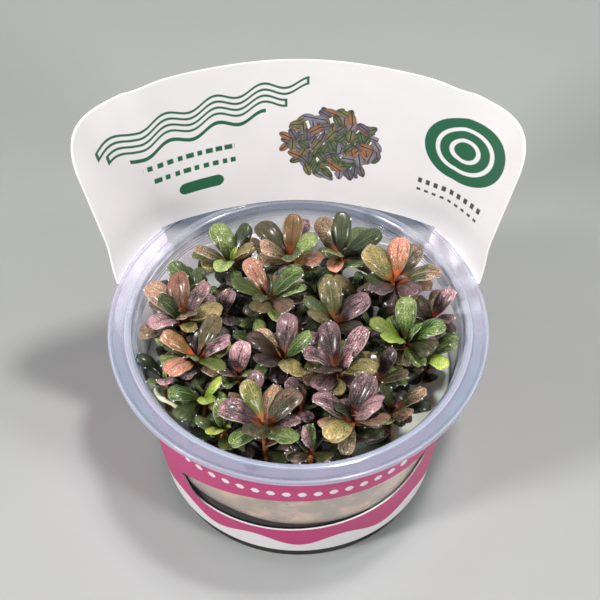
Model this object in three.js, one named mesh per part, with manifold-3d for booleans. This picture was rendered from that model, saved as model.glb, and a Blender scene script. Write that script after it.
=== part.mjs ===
// Tissue-cultured Bucephalandra plantlets in a flanged plastic cup with a card sleeve.
// Millimetres, +Z up, the front of the cup faces -Y, origin at the centre of the cup's underside.

import * as THREE from 'three';
import { mergeVertices } from 'three/addons/utils/BufferGeometryUtils.js';
import Module from 'manifold-3d';

const wasm = await Module();
wasm.setup();

// Driving dimensions of the cup
const CUP_HEIGHT = 56;
const FLANGE_RADIUS = 50;
const FLANGE_THICKNESS = 0.9;
const LIP_DEPTH = 1.4;
const WALL_RADIUS_AT_BAND_TOP = 43.2;
const WALL_SLOPE = 0.14;
const WALL_THICKNESS = 0.8;
const FLOOR_THICKNESS = 1;
const FOOT_ROUNDING = 0.8;
const NECK_RADIUS = 44;
const NECK_DEPTH = 2.9;
const MOUTH_RADIUS = 43.5;
const MOUTH_ROUNDING = 1.5;
const LEDGE_DEPTH = 2.8;
const CUP_SEGMENTS = 48;

// Driving dimensions of the card sleeve
const CARD_THICKNESS = 0.5;
const FIT_GAP = 0.3;
const BAND_BOTTOM = CUP_HEIGHT - 51.5;
const BAND_TOP = CUP_HEIGHT - 3;
const BAND_REFERENCE = CUP_HEIGHT - 6;
const HEADER_RISE = 47.5;
const HEADER_LEAN = 0.125;
const SLOT_HALF_WIDTH = 39.2;
const SLOT_FOOT_HALF_WIDTH = 34.5;
const SLOT_DEPTH = 11.5;
const SLOT_TOP = 0.35;
const SLOT_FOOT_DEPTH = 9;
const SLOT_END_TURN = 50;
const SLOT_PINCH = 0.65;
const FLANGE_CLEARANCE = 6.4;
const CLEARANCE_LOST_ABOVE = 1.4;
const SIDE_GROWTH = 2.3;
const SIDE_LEAN = 0.06;
const EDGE_LEAN = 0.17;
const FLARE_END_TURN = 78;
const PLAIN_CONE_TURN = 104;
const SLEEVE_COLUMNS = 48;
const CURVE_SEGMENTS = 7;

// Driving dimensions of the growing gel
const GEL_TOP = CUP_HEIGHT - 18;

// Driving dimensions of the plantlets
const STEM_RADIUS = 0.8;
const STALK_RADIUS = 0.42;
const SHEATH_RADIUS = 1.3;
const BLADE_KEEL = 0.6;
const BLADE_ASPECT = 0.5;
const OVAL_FULLNESS = 0.6;
const OVAL_SHIFT = 0.25;
const OVAL_WIDEST = 0.89;
const LEAF_CURL = 42;
const RISE_OF_YOUNGEST = 66;
const RISE_OF_OLDEST = 20;
const STALK_OF_YOUNGEST = 4.5;
const STALK_OF_OLDEST = 3;
const SHORTER_AT_THE_ENDS = 0.12;
const CELL_MARGIN = 0.25;
const TALL_SPREAD = 0.15;
const WALL_MARGIN = 0.5;
const SISTER_OVERLAP = 0.8;
const SISTER_GAP = 1.2;
const SISTER_REACH = 1.6;
const GOLDEN_ANGLE = 137.5;

// Bare gel at the right of the front, where no leaf reaches
const CLEARING = new THREE.Box3(new THREE.Vector3(29, -21, 30), new THREE.Vector3(36, -13, 70));

// The bare root that loops up along the left wall, from the stem of one plantlet
const ROOT_PLANTLET = 22;
const ROOT_RADIUS = 0.7;
const ROOT_ROUTE = [[-34.5, -14, 48], [-36, -16.5, 51.5], [-34.8, -18.5, 52], [-32.8, -19.5, 51]];

// Where each plantlet's leaves spring from: x, y, depth below the rim, turn of the first leaf,
// blade length, number of leaves, colour of most of its leaves
const PLANTLETS = [
  [-30.5, 3, 3, 100, 10.5, 9, 'brown'],
  [-2.5, 23.5, 3, 80, 10.5, 10, 'coral'],
  [-8, 10, 3, 130, 10, 8, 'olive'],
  [-18, 24, 5, 60, 9.5, 9, 'green'],
  [-19.5, 7.5, 7, 20, 9.5, 6, 'mauve'],
  [26, 15, 3, 85, 11, 10, 'coral'],
  [11.5, 26, 5, 85, 10.5, 8, 'green'],
  [5, 16, 9, 10, 8.5, 6, 'green'],
  [0, 5, 8, 90, 8, 6, 'green'],
  [9.5, 2, 4, 100, 10.5, 7, 'olive'],
  [18.5, 4.5, 8, 170, 9, 7, 'green'],
  [28, -4, 4, 175, 10, 9, 'lime'],
  [35.5, 5.5, 7, 20, 9, 6, 'brown'],
  [10, -15, 2, 135, 11, 10, 'mauve'],
  [20.5, -15.5, 6, 60, 10, 6, 'mauve'],
  [13.5, -29.5, 3, 165, 10.5, 9, 'mauve'],
  [24, -24, 7, 20, 9, 7, 'brown'],
  [-8.5, -32, 3, 120, 11, 9, 'olive'],
  [-4, -10.5, 3, 165, 10, 8, 'coral'],
  [0.5, -23.5, 7, 150, 9.5, 7, 'mauve'],
  [-26, -10, 3, 165, 10, 9, 'coral'],
  [-34.5, -14, 8, 165, 8, 5, 'green'],
  [-24.5, -20.5, 7, 30, 8.5, 8, 'lime'],
  [-19, -30, 8, 100, 8.5, 7, 'green'],
  [-15.5, -13, 6, 70, 10, 7, 'mauve'],
  [-12.5, -21.5, 7, 75, 9, 6, 'brown'],
  [3, -36, 8, 190, 8.5, 5, 'mauve'],
  [-10.5, -1.5, 8, 80, 8.5, 6, 'green'],
  [16, 15, 8, 60, 8.5, 6, 'green'],
  [34, -5, 8, 215, 9, 6, 'green'],
  [-27.5, 14.5, 7, 140, 9, 7, 'green'],
];

const PLASTIC = new THREE.MeshStandardMaterial({ color: '#c3c8e0', roughness: 0.28, metalness: 0 });
const GEL = new THREE.MeshStandardMaterial({ color: '#cdb9a6', roughness: 0.35, metalness: 0 });
const CARD = new THREE.MeshStandardMaterial({ color: '#c9487f', roughness: 0.55, metalness: 0 });
const LEAF_COLOURS = {
  green: '#3c6b2c',
  lime: '#8aa32f',
  olive: '#77702f',
  brown: '#5a4334',
  mauve: '#8a6672',
  coral: '#b5694a',
};

const degrees = THREE.MathUtils.degToRad;
const smooth = THREE.MathUtils.smoothstep;
const between = THREE.MathUtils.lerp;

// Solids from closed meshes, and back again

function solidFrom(geometry) {
  const bare = geometry.clone();
  bare.deleteAttribute('normal');
  bare.deleteAttribute('uv');
  const merged = mergeVertices(bare, 1e-4);
  const vertProperties = new Float32Array(merged.attributes.position.array);
  const triVerts = new Uint32Array(merged.index.array);
  return new wasm.Manifold(new wasm.Mesh({ numProp: 3, vertProperties, triVerts }));
}

function geometryFrom(solid) {
  const mesh = solid.getMesh();
  const geometry = new THREE.BufferGeometry();
  geometry.setAttribute('position', new THREE.BufferAttribute(mesh.vertProperties, 3));
  geometry.setIndex(new THREE.BufferAttribute(mesh.triVerts, 1));
  return geometry;
}

function lathe(profile, segments) {
  const points = profile.map(([radius, height]) => new THREE.Vector2(radius, height));
  return new THREE.LatheGeometry(points, segments).rotateX(Math.PI / 2);
}

// Cup and gel

function wallRadius(z) {
  return WALL_RADIUS_AT_BAND_TOP + WALL_SLOPE * (z - BAND_REFERENCE);
}

function innerRadius(z) {
  return wallRadius(z) - WALL_THICKNESS;
}

function cupGeometry() {
  const rim = CUP_HEIGHT;
  const flangeUnder = rim - FLANGE_THICKNESS;
  const lip = rim - LIP_DEPTH;
  const profile = [
    [0, 0],
    [wallRadius(0) - FOOT_ROUNDING / 2, 0],
    [wallRadius(FOOT_ROUNDING), FOOT_ROUNDING],
    [wallRadius(rim - NECK_DEPTH), rim - NECK_DEPTH],
    [NECK_RADIUS, rim - NECK_DEPTH + 0.6],
    [NECK_RADIUS, flangeUnder],
    [FLANGE_RADIUS - 0.7, flangeUnder],
    [FLANGE_RADIUS - 0.6, lip],
    [FLANGE_RADIUS, lip],
    [FLANGE_RADIUS - 0.2, rim],
    [MOUTH_RADIUS + MOUTH_ROUNDING, rim],
    [MOUTH_RADIUS + 0.2, rim - MOUTH_ROUNDING / 2],
    [MOUTH_RADIUS, rim - LEDGE_DEPTH + 0.4],
    [innerRadius(rim - LEDGE_DEPTH), rim - LEDGE_DEPTH],
    [innerRadius(FLOOR_THICKNESS), FLOOR_THICKNESS],
    [0, FLOOR_THICKNESS],
  ];
  return geometryFrom(solidFrom(lathe(profile, CUP_SEGMENTS)));
}

function gelGeometry() {
  const bottom = FLOOR_THICKNESS + FIT_GAP;
  const profile = [
    [0, bottom],
    [innerRadius(bottom) - FIT_GAP, bottom],
    [innerRadius(GEL_TOP) - FIT_GAP, GEL_TOP],
    [0, GEL_TOP],
  ];
  return geometryFrom(solidFrom(lathe(profile, CUP_SEGMENTS)));
}

// Card sleeve: a ring that is the cup's cone in front and flares at the back into the header

function sleeveRadius(turnFromBack, z) {
  const rise = z - CUP_HEIGHT;
  const aboveRim = Math.max(rise, 0);
  const cone = wallRadius(Math.min(z, CUP_HEIGHT)) + FIT_GAP + CARD_THICKNESS;
  const side = Math.min(turnFromBack / SLOT_END_TURN, 1);
  const pinch = SLOT_PINCH * (1 - smooth(turnFromBack, 20, SLOT_END_TURN)) * smooth(rise, -SLOT_DEPTH, 0);
  const clearance = FLANGE_CLEARANCE * smooth(rise, -22, 0) - CLEARANCE_LOST_ABOVE * smooth(rise, 0, 12);
  const lean = SIDE_LEAN * side ** 2 + EDGE_LEAN * smooth(turnFromBack, 45, 66);
  const flare = clearance * side ** SIDE_GROWTH + lean * aboveRim;
  const fade = 1 - smooth(turnFromBack, FLARE_END_TURN, PLAIN_CONE_TURN);
  return cone + HEADER_LEAN * aboveRim - pinch + flare * fade;
}

// The ring is turned as a straight tube, and each of its points is then moved to the sleeve's radius
function sleeveRing() {
  const tubeRadius = FLANGE_RADIUS;
  const levels = [-21, -15, -9, -4, 0, 4, 12, 30, HEADER_RISE].map((rise) => CUP_HEIGHT + rise);
  levels.unshift(BAND_BOTTOM);
  const outside = levels.map((z) => [tubeRadius, z]);
  const inside = levels.map((z) => [tubeRadius - CARD_THICKNESS, z]).reverse();
  const ring = lathe([...outside, ...inside, outside[0]], SLEEVE_COLUMNS);
  const position = ring.attributes.position;
  for (let i = 0; i < position.count; i += 1) {
    const x = position.getX(i);
    const y = position.getY(i);
    const z = position.getZ(i);
    const turnFromBack = THREE.MathUtils.radToDeg(Math.abs(Math.atan2(x, y)));
    const inward = Math.hypot(x, y) < tubeRadius - CARD_THICKNESS / 2 ? CARD_THICKNESS : 0;
    const radius = sleeveRadius(turnFromBack, z) - inward;
    const scale = radius / Math.hypot(x, y);
    position.setXYZ(i, x * scale, y * scale, z);
  }
  return solidFrom(ring);
}

// Everything above the band and in front of the header's side edges, seen from the side
function frontCutter() {
  const top = CUP_HEIGHT + HEADER_RISE;
  const outline = new THREE.Shape();
  outline.moveTo(-80, BAND_TOP);
  outline.lineTo(14.7, BAND_TOP);
  outline.lineTo(23, top - 15);
  outline.bezierCurveTo(25, top - 7, 32, top - 1.5, 44, top + 0.2);
  outline.lineTo(44, top + 10);
  outline.lineTo(-80, top + 10);
  const width = 4 * FLANGE_RADIUS;
  const options = { depth: width, bevelEnabled: false, curveSegments: CURVE_SEGMENTS };
  const geometry = new THREE.ExtrudeGeometry(outline, options).translate(0, 0, -width / 2);
  return solidFrom(geometry.rotateY(Math.PI / 2).rotateX(Math.PI / 2));
}

// An outline seen from the front, its heights measured from the rim, as a cutter from one y to another
function facingCutter(outline, from, to) {
  const options = { depth: to - from, bevelEnabled: false, curveSegments: CURVE_SEGMENTS };
  const geometry = new THREE.ExtrudeGeometry(outline, options);
  return solidFrom(geometry.rotateX(Math.PI / 2).translate(0, to, CUP_HEIGHT));
}

// The long slot at the back that the flange pokes through
function slotCutter() {
  const outline = new THREE.Shape();
  outline.moveTo(-SLOT_HALF_WIDTH, SLOT_TOP);
  outline.lineTo(-SLOT_FOOT_HALF_WIDTH, -SLOT_FOOT_DEPTH);
  outline.quadraticCurveTo(0, SLOT_FOOT_DEPTH - 2 * SLOT_DEPTH, SLOT_FOOT_HALF_WIDTH, -SLOT_FOOT_DEPTH);
  outline.lineTo(SLOT_HALF_WIDTH, SLOT_TOP);
  return facingCutter(outline, 20, 70);
}

// The eye-shaped window in front, its right tip higher than its left
function windowCutter() {
  const outline = new THREE.Shape();
  outline.moveTo(-31, -30);
  outline.bezierCurveTo(-29.5, -35, -28, -39.2, -24, -39.2);
  outline.bezierCurveTo(-12, -39.4, 12, -37.5, 22, -35);
  outline.bezierCurveTo(29, -33.5, 33, -28, 34.4, -22);
  outline.bezierCurveTo(20, -20, -4, -19.5, -15, -22);
  outline.bezierCurveTo(-23, -24, -28, -26.5, -31, -30);
  return facingCutter(outline, -60, -15);
}

function sleeveGeometry() {
  const card = sleeveRing().subtract(frontCutter()).subtract(slotCutter()).subtract(windowCutter());
  return geometryFrom(card);
}

// Plantlets: each keeps to the space nearer to its own leaf base than to any other's, and a tall
// one takes some of the room above a low one

const plantlets = PLANTLETS.map(([x, y, depth, turn, blade, leaves, tone], index) => ({
  index,
  head: new THREE.Vector3(x, y, CUP_HEIGHT - depth),
  turn,
  blade,
  leaves,
  tone,
}));

function hasRoom(plantlet, point) {
  const radius = Math.hypot(point.x, point.y);
  const wall = innerRadius(Math.min(point.z, CUP_HEIGHT - 3)) - WALL_MARGIN;
  if (radius > wall || point.z < GEL_TOP + WALL_MARGIN || CLEARING.containsPoint(point)) {
    return false;
  }
  return plantlets.every((other) => {
    if (other === plantlet) {
      return true;
    }
    const apart = other.head.distanceTo(plantlet.head);
    const nearer = point.distanceToSquared(other.head) - point.distanceToSquared(plantlet.head);
    const yields = TALL_SPREAD * (other.head.z - plantlet.head.z);
    return nearer / (2 * apart) >= CELL_MARGIN + yields;
  });
}

// A leaf's midrib is an arc that starts at its rise and bends down by the curl over its length
function midrib(leaf, distance) {
  const length = leaf.stalk + leaf.blade;
  const rise = degrees(leaf.rise);
  const bend = degrees(leaf.curl) / length;
  const pitch = rise - bend * distance;
  const out = (Math.sin(rise) - Math.sin(pitch)) / bend;
  const up = (Math.cos(pitch) - Math.cos(rise)) / bend;
  const heading = degrees(leaf.turn);
  const along = new THREE.Vector3(Math.cos(heading), Math.sin(heading), 0);
  return {
    point: new THREE.Vector3(along.x * out, along.y * out, up).add(leaf.head),
    side: new THREE.Vector3(-along.y, along.x, 0),
    normal: new THREE.Vector3(-Math.sin(pitch) * along.x, -Math.sin(pitch) * along.y, Math.cos(pitch)),
  };
}

// Half width of the blade at a fraction of its length, an oval with its widest part past the middle
function bladeHalfWidth(leaf, fraction) {
  const oval = (4 * fraction * (1 - fraction)) ** OVAL_FULLNESS;
  const shifted = oval * (1 - OVAL_SHIFT * (1 - fraction)) / OVAL_WIDEST;
  return Math.max(leaf.blade * BLADE_ASPECT * 0.5 * shifted, STALK_RADIUS);
}

function bladeStations(leaf) {
  return [0.05, 0.2, 0.4, 0.6, 0.8, 1].map((fraction) => ({
    ...midrib(leaf, leaf.stalk + leaf.blade * fraction),
    half: bladeHalfWidth(leaf, fraction),
  }));
}

function staysInside(plantlet, stations) {
  return stations.every(({ point, side, half }) => {
    const left = point.clone().addScaledVector(side, half);
    const right = point.clone().addScaledVector(side, -half);
    return hasRoom(plantlet, left) && hasRoom(plantlet, right);
  });
}

// Two blades of one plantlet touch where stations of theirs are close in all three directions
function touches(stations, sisters) {
  return stations.some((here) => sisters.some((there) => {
    const apart = here.point.clone().sub(there.point);
    const across = Math.abs(apart.dot(there.side));
    const off = Math.abs(apart.dot(there.normal));
    const along = Math.sqrt(Math.max(apart.lengthSq() - across ** 2 - off ** 2, 0));
    const reach = (here.half + there.half) * SISTER_OVERLAP;
    return across < reach && off < SISTER_GAP && along < SISTER_REACH;
  }));
}

// Swing, raise and then shorten a leaf, step by step, until it has room
function settleLeaf(plantlet, wanted, sisters) {
  for (const size of [1, 0.9, 0.8, 0.7, 0.6]) {
    for (let lift = 0; lift <= 36; lift += 6) {
      for (const swing of [0, 12, -12, 24, -24]) {
        const leaf = {
          ...wanted,
          rise: wanted.rise + lift,
          turn: wanted.turn + swing,
          stalk: wanted.stalk * size,
          blade: wanted.blade * size,
        };
        const stations = bladeStations(leaf);
        if (staysInside(plantlet, stations) && !touches(stations, sisters)) {
          sisters.push(...stations);
          return leaf;
        }
      }
    }
  }
  return null;
}

function leavesOf(plantlet) {
  const leaves = [];
  const sisters = [];
  for (let i = 0; i < plantlet.leaves; i += 1) {
    const age = i / (plantlet.leaves - 1);
    const leaf = settleLeaf(plantlet, {
      head: plantlet.head,
      turn: plantlet.turn + GOLDEN_ANGLE * i,
      rise: between(RISE_OF_YOUNGEST, RISE_OF_OLDEST, age),
      curl: LEAF_CURL,
      stalk: between(STALK_OF_YOUNGEST, STALK_OF_OLDEST, age),
      blade: plantlet.blade * (1 - SHORTER_AT_THE_ENDS * Math.abs(2 * age - 0.8)),
    }, sisters);
    if (leaf) {
      leaves.push(leaf);
    }
  }
  return leaves;
}

// One leaf as a three-sided spindle: tip in the stem, stalk end, two blade stations, leaf tip
function leafGeometry(leaf) {
  const sides = 3;
  const stations = [0, 0.04, 0.36, 0.78, 1];
  const geometry = new THREE.SphereGeometry(1, sides, stations.length - 1);
  const position = geometry.attributes.position;
  for (let ring = 0; ring < stations.length; ring += 1) {
    const inStem = ring === 0;
    const atTip = ring === stations.length - 1;
    const distance = inStem ? 0 : leaf.stalk + leaf.blade * stations[ring];
    const { point, side, normal } = midrib(leaf, distance);
    const half = inStem || atTip ? 0 : bladeHalfWidth(leaf, stations[ring]);
    const keel = inStem || atTip ? 0 : BLADE_KEEL;
    const corners = [
      point.clone().addScaledVector(side, -half),
      point.clone().addScaledVector(side, half),
      point.clone().addScaledVector(normal, -keel),
    ];
    for (let corner = 0; corner <= sides; corner += 1) {
      const { x, y, z } = corners[corner % sides];
      position.setXYZ(ring * (sides + 1) + corner, x, y, z);
    }
  }
  return geometry;
}

// A short stem, with a knot at its top made by the sheaths of the leaf stalks
function stemSolid(plantlet) {
  const { x, y, z } = plantlet.head;
  const profile = [
    [0, GEL_TOP + FIT_GAP],
    [STEM_RADIUS, GEL_TOP + FIT_GAP],
    [STEM_RADIUS * 0.7, z - 2],
    [SHEATH_RADIUS, z],
    [0, z + 2],
  ];
  return solidFrom(lathe(profile, 5).translate(x, y, 0));
}

function rootSolid() {
  const route = new THREE.CatmullRomCurve3(ROOT_ROUTE.map(([x, y, z]) => new THREE.Vector3(x, y, z)));
  const section = new THREE.Shape();
  section.absarc(0, 0, ROOT_RADIUS, 0, 2 * Math.PI);
  return solidFrom(new THREE.ExtrudeGeometry(section, { steps: 6, curveSegments: 5, extrudePath: route }));
}

function plantletGeometry(plantlet) {
  let solid = stemSolid(plantlet);
  if (plantlet.index + 1 === ROOT_PLANTLET) {
    solid = solid.add(rootSolid());
  }
  for (const leaf of leavesOf(plantlet)) {
    solid = solid.add(solidFrom(leafGeometry(leaf)));
  }
  return geometryFrom(solid);
}

// The whole object

const object = new THREE.Group();

function addPiece(name, geometry, material) {
  const mesh = new THREE.Mesh(geometry, material);
  mesh.name = name;
  object.add(mesh);
}

addPiece('cup', cupGeometry(), PLASTIC);
addPiece('gel_medium', gelGeometry(), GEL);
addPiece('card_sleeve', sleeveGeometry(), CARD);
for (const plantlet of plantlets) {
  const name = `plantlet_${String(plantlet.index + 1).padStart(2, '0')}`;
  const leafColour = new THREE.MeshStandardMaterial({
    color: LEAF_COLOURS[plantlet.tone],
    roughness: 0.4,
    metalness: 0,
  });
  addPiece(name, plantletGeometry(plantlet), leafColour);
}

export default object;
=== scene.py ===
# A cup of tissue-cultured Bucephalandra plantlets in its card sleeve: finish, print and fine leaves.
# Shapes are worked out in millimetres, in the frame of the solids, and meshes are made in metres.

import itertools
import random
from math import cos, hypot, isclose, pi, radians, sin, sqrt

import bmesh
import bpy
import numpy as np
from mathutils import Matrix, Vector


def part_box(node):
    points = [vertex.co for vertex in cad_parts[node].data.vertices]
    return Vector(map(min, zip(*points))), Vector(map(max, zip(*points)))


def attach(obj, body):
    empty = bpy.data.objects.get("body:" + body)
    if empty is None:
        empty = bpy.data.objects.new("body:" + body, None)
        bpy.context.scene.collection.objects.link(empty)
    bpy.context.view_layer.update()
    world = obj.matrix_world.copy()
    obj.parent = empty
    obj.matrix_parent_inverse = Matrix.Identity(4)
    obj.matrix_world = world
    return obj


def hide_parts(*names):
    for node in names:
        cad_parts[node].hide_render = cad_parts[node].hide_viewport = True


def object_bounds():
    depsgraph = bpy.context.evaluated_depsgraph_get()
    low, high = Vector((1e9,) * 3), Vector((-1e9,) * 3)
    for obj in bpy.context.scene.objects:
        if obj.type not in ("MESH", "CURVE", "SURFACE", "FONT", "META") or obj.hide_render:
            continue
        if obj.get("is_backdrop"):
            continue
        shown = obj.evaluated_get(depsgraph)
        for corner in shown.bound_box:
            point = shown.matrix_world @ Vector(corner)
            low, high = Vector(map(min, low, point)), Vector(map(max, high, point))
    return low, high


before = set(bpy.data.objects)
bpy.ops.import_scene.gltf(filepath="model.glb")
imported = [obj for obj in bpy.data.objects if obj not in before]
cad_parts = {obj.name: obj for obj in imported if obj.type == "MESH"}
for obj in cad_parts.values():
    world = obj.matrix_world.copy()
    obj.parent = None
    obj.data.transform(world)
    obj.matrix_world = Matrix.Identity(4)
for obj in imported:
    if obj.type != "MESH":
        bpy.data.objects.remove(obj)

cad_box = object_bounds()

MM = 0.001

# Sizes that the solids give
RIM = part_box("cup")[1].z / MM
FLANGE_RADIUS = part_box("cup")[1].x / MM
GEL_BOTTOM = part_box("gel_medium")[0].z / MM
GEL_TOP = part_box("gel_medium")[1].z / MM
GEL_DEPTH = RIM - GEL_TOP
BAND_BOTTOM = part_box("card_sleeve")[0].z / MM
HEADER_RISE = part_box("card_sleeve")[1].z / MM - RIM

# Cup
BAND_REFERENCE = RIM - 6
WALL_RADIUS_AT_REFERENCE = 43.2
WALL_SLOPE = 0.14
WALL_THICKNESS = 0.8
FLOOR_THICKNESS = 1
FOOT_ROUNDING = 0.8
FLANGE_THICKNESS = 0.9
FLANGE_HOLLOW = 0.2
LIP_DEPTH = 1.4
NECK_RADIUS = 44
NECK_DEPTH = 2.9
MOUTH_RADIUS = 43.5
LEDGE_DEPTH = 2.8
RIB_DEPTHS = (3.3, 4.2, 5.1)
RIB_HEIGHT = 0.25
RING_MIDDLE = 44.75
RING_HALF = 0.75
INK_TOP = RIM - 35.5
INK_LIFT = 1.3
INK_LIFT_START = 4
INK_LIFT_RUN = 14
CUP_SEGMENTS = 160

# Card sleeve
CARD_THICKNESS = 0.5
FIT_GAP = 0.3
BAND_TOP = RIM - 3
BAND_LIFT = 0.4
HEADER_LEAN = 0.125
SLOT_HALF_WIDTH = 37.6
SLOT_FOOT_HALF_WIDTH = 34.5
SLOT_DEPTH = 11.5
SLOT_TOP = 0.35
SLOT_FOOT_DEPTH = 9
SLOT_END_TURN = 50
SLOT_PINCH = 0.65
PINCH_TURN = 20
FLANGE_CLEARANCE = 6.4
CLEARANCE_START = 22
CLEARANCE_END = 12
CLEARANCE_LOST_ABOVE = 1.4
SIDE_GROWTH = 2.3
SIDE_LEAN = 0.06
EDGE_LEAN = 0.17
EDGE_LEAN_TURNS = (45, 66)
FLARE_END_TURN = 78
PLAIN_CONE_TURN = 104
SLEEVE_COLUMNS = 180
SLEEVE_LEVEL_STEP = 2.5
SLOT_CUT = (20, 70)
WINDOW_CUT = (-60, -15)

# Plantlets
STALK_RADIUS = 0.42
BLADE_ASPECT = 0.5
OVAL_FULLNESS = 0.6
OVAL_SHIFT = 0.25
OVAL_WIDEST = 0.89
LEAF_CURL = 42
RISE_OF_YOUNGEST = 66
RISE_OF_OLDEST = 20
STALK_OF_YOUNGEST = 4.5
STALK_OF_OLDEST = 3
SHORTER_AT_THE_ENDS = 0.12
CELL_MARGIN = 0.25
TALL_SPREAD = 0.15
WALL_MARGIN = 0.5
SISTER_OVERLAP = 0.8
SISTER_GAP = 1.2
SISTER_REACH = 1.6
GOLDEN_ANGLE = 137.5
CLEARING = ((29, -21, 30), (36, -13, 70))
ROOT_PLANTLET = 22
ROOT_RADIUS = 1.05
ROOT_ROUTE = (
    (-34.5, -14, 48),
    (-36.7, -17.5, 50.5),
    (-35.6, -20.3, 51.4),
    (-32.4, -22.6, 51.6),
    (-28.8, -24.8, 51),
)

# Fine form of the leaves, which the solids only rough out
BLADE_THICKNESS = 0.34
BLADE_WIDENING = 1.14
TIP_BLUNTNESS = 0.42
BLADE_HEAD_START = 1.3
MIDDLE_LEAVES = 5
MIDDLE_MARGIN = -0.5
GROUND_LEAVES = 11
GROUND_MARGIN = -2.6
EXTRA_REACH = 38.2
ROOT_CLEARANCE = 2.2
BARE_MIDDLE = (33, -17.5)
BARE_RADIUS = 7
CRUMBS_PER_LEAF = 2

# Where each plantlet's leaves spring from: x, y, depth below the rim, turn of the first leaf,
# blade length, record slot, and the tones of its leaves from the youngest out, by first letters
PLANTLETS = (
    (-30.5, 3, 3, 100, 10.5, "b", "cmobbmbgb"),
    (-2.5, 23.5, 3, 80, 10.5, "c", "cbcogmbomg"),
    (-8, 10, 3, 130, 10, "o", "coglbmbg"),
    (-18, 24, 5, 60, 9.5, "g", "gboggoggg"),
    (-19.5, 7.5, 7, 20, 9.5, "m", "momgmg"),
    (26, 15, 3, 85, 11, "c", "cmbombobom"),
    (11.5, 26, 5, 85, 10.5, "g", "gogbcggb"),
    (5, 16, 9, 10, 8.5, "g", "ggggbg"),
    (0, 5, 8, 90, 8, "g", "ggmggg"),
    (9.5, 2, 4, 100, 10.5, "o", "oomgbog"),
    (18.5, 4.5, 8, 170, 9, "g", "gggbggg"),
    (28, -4, 4, 175, 10, "l", "loglgmglg"),
    (35.5, 5.5, 7, 20, 9, "b", "mbmbbb"),
    (10, -15, 2, 135, 11, "m", "mbmmobmgom"),
    (20.5, -15.5, 6, 60, 10, "m", "mmbobg"),
    (13.5, -29.5, 3, 165, 10.5, "m", "mbmombbmb"),
    (24, -24, 7, 20, 9, "b", "bobmbgb"),
    (-8.5, -32, 3, 120, 11, "o", "oobmgbgmb"),
    (-4, -10.5, 3, 165, 10, "c", "commgbmg"),
    (0.5, -23.5, 7, 150, 9.5, "m", "mmbmgbm"),
    (-26, -10, 3, 165, 10, "c", "clocmgmbg"),
    (-34.5, -14, 8, 165, 8, "g", "gmggb"),
    (-24.5, -20.5, 7, 30, 8.5, "l", "lglgglgg"),
    (-19, -30, 8, 100, 8.5, "g", "glgglgg"),
    (-15.5, -13, 6, 70, 10, "m", "mmggmgg"),
    (-12.5, -21.5, 7, 75, 9, "b", "mbgmbg"),
    (3, -36, 8, 190, 8.5, "m", "mogbm"),
    (-10.5, -1.5, 8, 80, 8.5, "g", "ggogmg"),
    (16, 15, 8, 60, 8.5, "g", "gogbgg"),
    (34, -5, 8, 215, 9, "g", "ggglgg"),
    (-27.5, 14.5, 7, 140, 9, "g", "gogmggg"),
)

# Each tone of leaf: main colour, blush that spreads over it, colour of the veins, colour of the stalk
LEAF_TONES = {
    "green": ((0.014, 0.044, 0.005), (0.210, 0.290, 0.045), (0.22, 0.32, 0.08), (0.16, 0.11, 0.03)),
    "lime": ((0.130, 0.250, 0.008), (0.420, 0.480, 0.040), (0.46, 0.52, 0.12), (0.38, 0.22, 0.05)),
    "olive": ((0.050, 0.080, 0.006), (0.430, 0.290, 0.080), (0.30, 0.26, 0.08), (0.48, 0.14, 0.03)),
    "brown": ((0.018, 0.030, 0.007), (0.420, 0.200, 0.115), (0.26, 0.19, 0.11), (0.44, 0.10, 0.03)),
    "mauve": ((0.036, 0.018, 0.021), (0.500, 0.245, 0.280), (0.022, 0.011, 0.013), (0.50, 0.12, 0.05)),
    "coral": ((0.150, 0.080, 0.012), (0.640, 0.230, 0.150), (0.16, 0.05, 0.03), (0.58, 0.09, 0.02)),
}
MIDDLE_TONES = "gbmgo"
GROUND_TONES = "gbggmgb"
TONE_NAMES = {name[0]: name for name in LEAF_TONES}
TONE_SLOTS = {letter: slot for slot, letter in enumerate(TONE_NAMES)}

# What each point of a leaf tells its material: -1 to 1 across the blade, 0 to 1 along it, whether it is
# on the underside, and the leaf's own random number
LEAF_ATTRIBUTES = ("across", "along", "underside", "leaf_seed")


# Meshes

def configure(item, **settings):
    for name, value in settings.items():
        setattr(item, name, value)
    return item


def shade_smooth(mesh, sharp_angle):
    mesh.polygons.foreach_set("use_smooth", [True] * len(mesh.polygons))
    mesh.set_sharp_from_angle(angle=radians(sharp_angle))


def make_piece(name, points, faces, materials, face_slots=None, sharp_angle=180):
    """Makes one smooth mesh object from points in millimetres."""
    mesh = bpy.data.meshes.new(name)
    mesh.from_pydata([tuple(point) for point in np.asarray(points) * MM], [], faces)
    for material in materials:
        mesh.materials.append(material)
    if face_slots is not None:
        mesh.polygons.foreach_set("material_index", face_slots)
    shade_smooth(mesh, sharp_angle)
    mesh.update()
    piece = bpy.data.objects.new(name, mesh)
    bpy.context.scene.collection.objects.link(piece)
    return piece


def stand_in(piece, node):
    """Puts a piece in the place of a node of the solids."""
    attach(piece, "root")
    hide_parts(node)


def smoothstep(x, low, high):
    share = min(max((x - low) / (high - low), 0), 1)
    return share * share * (3 - 2 * share)


def between(a, b, share):
    return a + (b - a) * share


def ring_faces(start, count, size):
    """Faces between rings of points that follow one another from start on."""
    faces = []
    for low in range(start, start + (count - 1) * size, size):
        for i in range(size):
            j = (i + 1) % size
            faces.append((low + i, low + j, low + size + j, low + size + i))
    return faces


def fan(start, size, tip):
    return [(start + i, start + (i + 1) % size, tip) for i in range(size)]


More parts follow.
